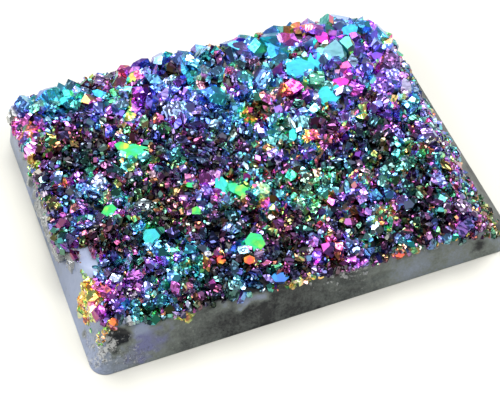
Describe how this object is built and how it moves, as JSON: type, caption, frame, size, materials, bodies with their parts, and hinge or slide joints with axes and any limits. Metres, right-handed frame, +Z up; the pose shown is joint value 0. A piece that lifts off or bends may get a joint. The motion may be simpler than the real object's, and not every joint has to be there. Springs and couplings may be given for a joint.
{
  "type": "druzy stone",
  "caption": "Rectangular slab of grey chalcedony with sloping ground walls and a flat underside, its top one crust of small quartz crystals with a rainbow metal coating.",
  "frame": {"origin": "centre of the flat underside's bounding box", "axes": "+X along the slab's long side, +Y across it, +Z up through the crystals"},
  "size_m": [0.0259, 0.0195, 0.0043],
  "materials": {
    "coated_quartz": "small quartz crystals under a thin iridescent metal film, over satin grey-blue chalcedony"
  },
  "bodies": {
    "root": {"druzy_stone": "coated_quartz"}
  },
  "joints": []
}
